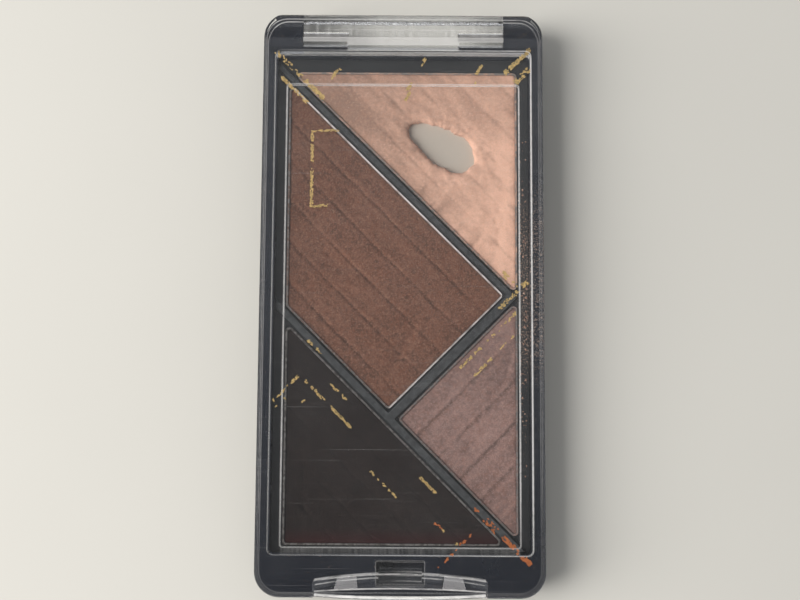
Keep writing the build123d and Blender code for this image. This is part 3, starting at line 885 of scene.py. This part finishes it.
class StageSettings(PropertyGroup):
    bench_colour: a_colour("Bench", "Colour of the plain bench", (0.62, 0.605, 0.56))
    room_light: a_number("Room, far side", "Strength of the room light behind", 0.55)
    room_dark: a_number("Room, near side", "Strength of the room light in front", 0.10)
    key_power: a_number("Key", "Power of the large side light in watts", 9.6)
    front_power: a_number("Front", "Power of the low strip in front in watts", 0.6)
    camera_place: FloatVectorProperty(
        name="Camera", description="Where the camera stands", size=3,
        default=(-0.00012, -0.02715, 0.230), subtype="TRANSLATION")
    camera_tilt: a_number("Tilt", "Camera tilt from straight down in degrees", 7.02)
    camera_roll: a_number("Roll", "Camera roll in degrees", 0.354)
    camera_lens: a_number("Lens", "Focal length in millimetres on a 36 mm sensor", 59.26)


class PaletteSettings(PropertyGroup):
    powder: PointerProperty(type=PowderSettings)
    case: PointerProperty(type=CaseSettings)
    lid: PointerProperty(type=LidSettings)
    stage: PointerProperty(type=StageSettings)


# ---------------------------------------------------------------- operators

class PALETTE_OT_powders(Operator):
    """Presses the four powders into their pans"""
    bl_idname = "palette.powders"
    bl_label = "Press powders"

    def execute(self, context):
        look = context.scene.palette.powder
        spark = {
            "peach": (0.010, (0.85, 0.64, 0.54), 0.30),
            "brown": (0.16, (0.44, 0.25, 0.17), 1.15),
            "taupe": (0.10, (0.46, 0.34, 0.31), 0.85),
            "dark": (0.025, (0.12, 0.09, 0.08), 1.0),
        }
        for colour in COLOURS:
            piece = powder_cake(colour, look)
            middle = getattr(look, colour)
            shades = [tuple(c * k for c in middle) for k in (0.52, 1.0, 1.42)]
            stain = ((0.030, 0.007, 0.007), box_of("pan_dark")[0][1]) if colour == "dark" else None
            wear(piece, powder_finish(colour, shades, *spark[colour], stain))
        return {"FINISHED"}


class PALETTE_OT_case(Operator):
    """Finishes the base, the tray, the label and the hinge pins"""
    bl_idname = "palette.case"
    bl_label = "Finish case and tray"

    def execute(self, context):
        look = context.scene.palette.case
        wear("base_shell", case_finish("gloss_black_case", look.case_colour, 0.10, 0.55))
        wear("pan_tray", tray_finish(look))
        wear("bottom_label", film_finish("blank_label", look.label_colour, 0.35))
        steel = steel_finish()
        for side in ("left", "right"):
            wear(f"hinge_pin_{side}", steel)
        return {"FINISHED"}


class PALETTE_OT_pans(Operator):
    """Finishes the four pans and the adhesive under them"""
    bl_idname = "palette.pans"
    bl_label = "Finish pans"

    def execute(self, context):
        settings = context.scene.palette
        adhesive = film_finish("pan_adhesive", settings.case.adhesive_colour, 0.55)
        # The brown pan's two sides free of powder, with a painted highlight, as their distance from the
        # middle of the palette
        wiped_bright_sides = {"brown": (13.35, 11.45)}
        for colour in COLOURS:
            smear = tuple(c * 0.9 for c in getattr(settings.powder, colour))
            wear(f"pan_{colour}", pan_finish(colour, smear, wiped_bright_sides.get(colour)))
            wear(f"adhesive_{colour}", adhesive)
        return {"FINISHED"}


class PALETTE_OT_lid(Operator):
    """Finishes the clear lid"""
    bl_idname = "palette.lid"
    bl_label = "Finish lid"

    def execute(self, context):
        wear("clear_lid", clear_finish(context.scene.palette.lid))
        return {"FINISHED"}


class PALETTE_OT_foil(Operator):
    """Prints the worn gold and copper foil on the lid"""
    bl_idname = "palette.foil"
    bl_label = "Print foil"

    def execute(self, context):
        look = context.scene.palette.lid
        rng = np.random.default_rng(582)
        top = (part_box("clear_lid")[1][2] - look.foil_depth) / MM
        # The strokes rise at 60 degrees and are 0.45 mm wide
        strokes = [((x, y), (x + run * 0.5, y + run * 0.87), 0.45, share)
                   for x, y, run, share in GOLD_STROKES]
        frame_line = [
            ((-15.4, 23.6), (-15.4, 28.9), 0.50, 0.80),
            ((-15.2, 28.85), (-10.9, 29.0), 0.34, 0.60),
            ((-15.4, 15.7), (-15.4, 22.3), 0.46, 0.66),
            ((-15.2, 15.75), (-12.6, 16.0), 0.34, 0.52),
        ]
        for name, lines, flake, colour in (
            ("gold_foil", line_ends(GOLD_LINES) + strokes + frame_line, 0.26, look.gold),
            ("copper_foil", line_ends(ORANGE_LINES), 0.34, look.orange),
        ):
            rows = flakes_along(lines, flake, rng)
            piece = foil_flakes(name, rows, top, look.foil_thickness / MM, rng)
            wear(piece, foil_finish(name, colour, [c * 0.55 for c in colour]))
        return {"FINISHED"}


class PALETTE_OT_crumbs(Operator):
    """Scatters crumbs of powder on the tray and rim beside the pans"""
    bl_idname = "palette.crumbs"
    bl_label = "Scatter crumbs"

    def execute(self, context):
        count = context.scene.palette.case.dust_count
        rng = np.random.default_rng(41)
        edge, side = box_of("pan_peach")[1][0], box_of("pan_tray")[1][0]
        x = rng.uniform(edge + 0.2, side - 0.15, count)
        y = rng.normal(0.0, 13.0, count)
        kept = np.abs(y) < 40
        centres = np.column_stack([x, y, np.full(count, TRAY_DECK)])[kept]
        sizes = rng.gamma(2.0, 0.045, count)[kept] + 0.03
        piece = crumbs("powder_crumbs", centres, np.minimum(sizes, 0.28), "base", rng)
        wear(piece, powder_finish("crumbs", [(0.30, 0.18, 0.13), (0.52, 0.33, 0.25), (0.70, 0.50, 0.40)],
                                  0.01, (0.9, 0.7, 0.6), 1.0))
        return {"FINISHED"}


class PALETTE_OT_stage(Operator):
    """Sets up the bench, the soft lights and the camera"""
    bl_idname = "palette.stage"
    bl_label = "Set stage"

    def execute(self, context):
        look = context.scene.palette.stage
        scene = context.scene
        mesh = bpy.data.meshes.new("bench")
        reach, level = 3.0, cad_box[0][2] - 0.02 * MM
        corners = [(x * reach, y * reach, level) for x, y in ((-1, -1), (1, -1), (1, 1), (-1, 1))]
        mesh.from_pydata(corners, [], [(0, 1, 2, 3)])
        bench = bpy.data.objects.new("bench", mesh)
        scene.collection.objects.link(bench)
        bench.data.materials.append(bench_finish(look.bench_colour).material)

        world = bpy.data.worlds.new("soft_room")
        scene.world = world
        world.use_nodes = True
        nodes, links = world.node_tree.nodes, world.node_tree.links
        backdrop = nodes["Background"]
        backdrop.inputs["Color"].default_value = (0.95, 0.97, 1.0, 1.0)
        # Strength rises towards the far side and the horizon: by the larger of y and 0.80 - z
        kinds = ("TexCoord", "SeparateXYZ", "MapRange", "Math", "Math")
        aim, split, fade, low, higher = (nodes.new(f"ShaderNode{kind}") for kind in kinds)
        low.operation, higher.operation = "SUBTRACT", "MAXIMUM"
        low.inputs[0].default_value = 0.80
        for key, value in zip(("From Min", "From Max", "To Min", "To Max"),
                              (-0.15, 0.45, look.room_dark, look.room_light)):
            fade.inputs[key].default_value = value
        links.new(aim.outputs["Generated"], split.inputs[0])
        links.new(split.outputs["Z"], low.inputs[1])
        links.new(split.outputs["Y"], higher.inputs[0])
        links.new(low.outputs[0], higher.inputs[1])
        links.new(higher.outputs[0], fade.inputs["Value"])
        links.new(fade.outputs["Result"], backdrop.inputs["Strength"])

        def panel(name, place, width, height, power, colour, mirrored):
            """Rectangular soft light facing the origin; mirrored says whether gloss shows it."""
            light = bpy.data.lights.new(name, "AREA")
            light.shape = "RECTANGLE"
            light.size, light.size_y = width, height
            light.energy, light.color = power, colour
            lamp = bpy.data.objects.new(name, light)
            lamp.location = place
            away = np.array(place)
            lamp.rotation_euler = (
                math.acos(away[2] / np.linalg.norm(away)), 0.0, math.atan2(away[0], -away[1]))
            lamp.visible_glossy = lamp.visible_transmission = mirrored
            scene.collection.objects.link(lamp)

        panel("side_window", (-0.62, -0.10, 0.42), 0.5, 0.7, look.key_power, (1.0, 0.98, 0.95), False)
        panel("front_strip", (0.16, -0.60, 0.12), 0.9, 0.05, look.front_power, (1.0, 0.97, 0.96), True)

        lens = bpy.data.cameras.new("camera")
        lens.sensor_width = 36.0
        lens.lens = look.camera_lens
        lens.clip_start = 0.01
        camera = bpy.data.objects.new("camera", lens)
        camera.location = look.camera_place
        camera.rotation_euler = (math.radians(look.camera_tilt), 0.0, math.radians(look.camera_roll))
        scene.collection.objects.link(camera)
        scene.camera = camera
        scene.view_settings.view_transform = "Standard"
        return {"FINISHED"}


OPERATORS = (
    PALETTE_OT_case,
    PALETTE_OT_pans,
    PALETTE_OT_powders,
    PALETTE_OT_lid,
    PALETTE_OT_foil,
    PALETTE_OT_crumbs,
    PALETTE_OT_stage,
)


class PALETTE_PT_sidebar(Panel):
    """Lists the palette's steps and settings"""
    bl_idname = "PALETTE_PT_sidebar"
    bl_label = "Eyeshadow palette"
    bl_space_type = "VIEW_3D"
    bl_region_type = "UI"
    bl_category = "Palette"

    def draw(self, context):
        settings = context.scene.palette
        for operator in OPERATORS:
            self.layout.operator(operator.bl_idname)
        for group in (settings.powder, settings.case, settings.lid, settings.stage):
            box = self.layout.box()
            for key in group.bl_rna.properties.keys():
                if key not in ("rna_type", "name"):
                    box.prop(group, key)


CLASSES = (PowderSettings, CaseSettings, LidSettings, StageSettings, PaletteSettings,
           *OPERATORS, PALETTE_PT_sidebar)


def register():
    for one in CLASSES:
        bpy.utils.register_class(one)
    bpy.types.Scene.palette = PointerProperty(type=PaletteSettings)


def unregister():
    del bpy.types.Scene.palette
    for one in reversed(CLASSES):
        bpy.utils.unregister_class(one)


def main():
    """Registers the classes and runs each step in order."""
    register()
    for operator in OPERATORS:
        group, step = operator.bl_idname.split(".")
        getattr(getattr(bpy.ops, group), step)()


if __name__ == "__main__":
    main()
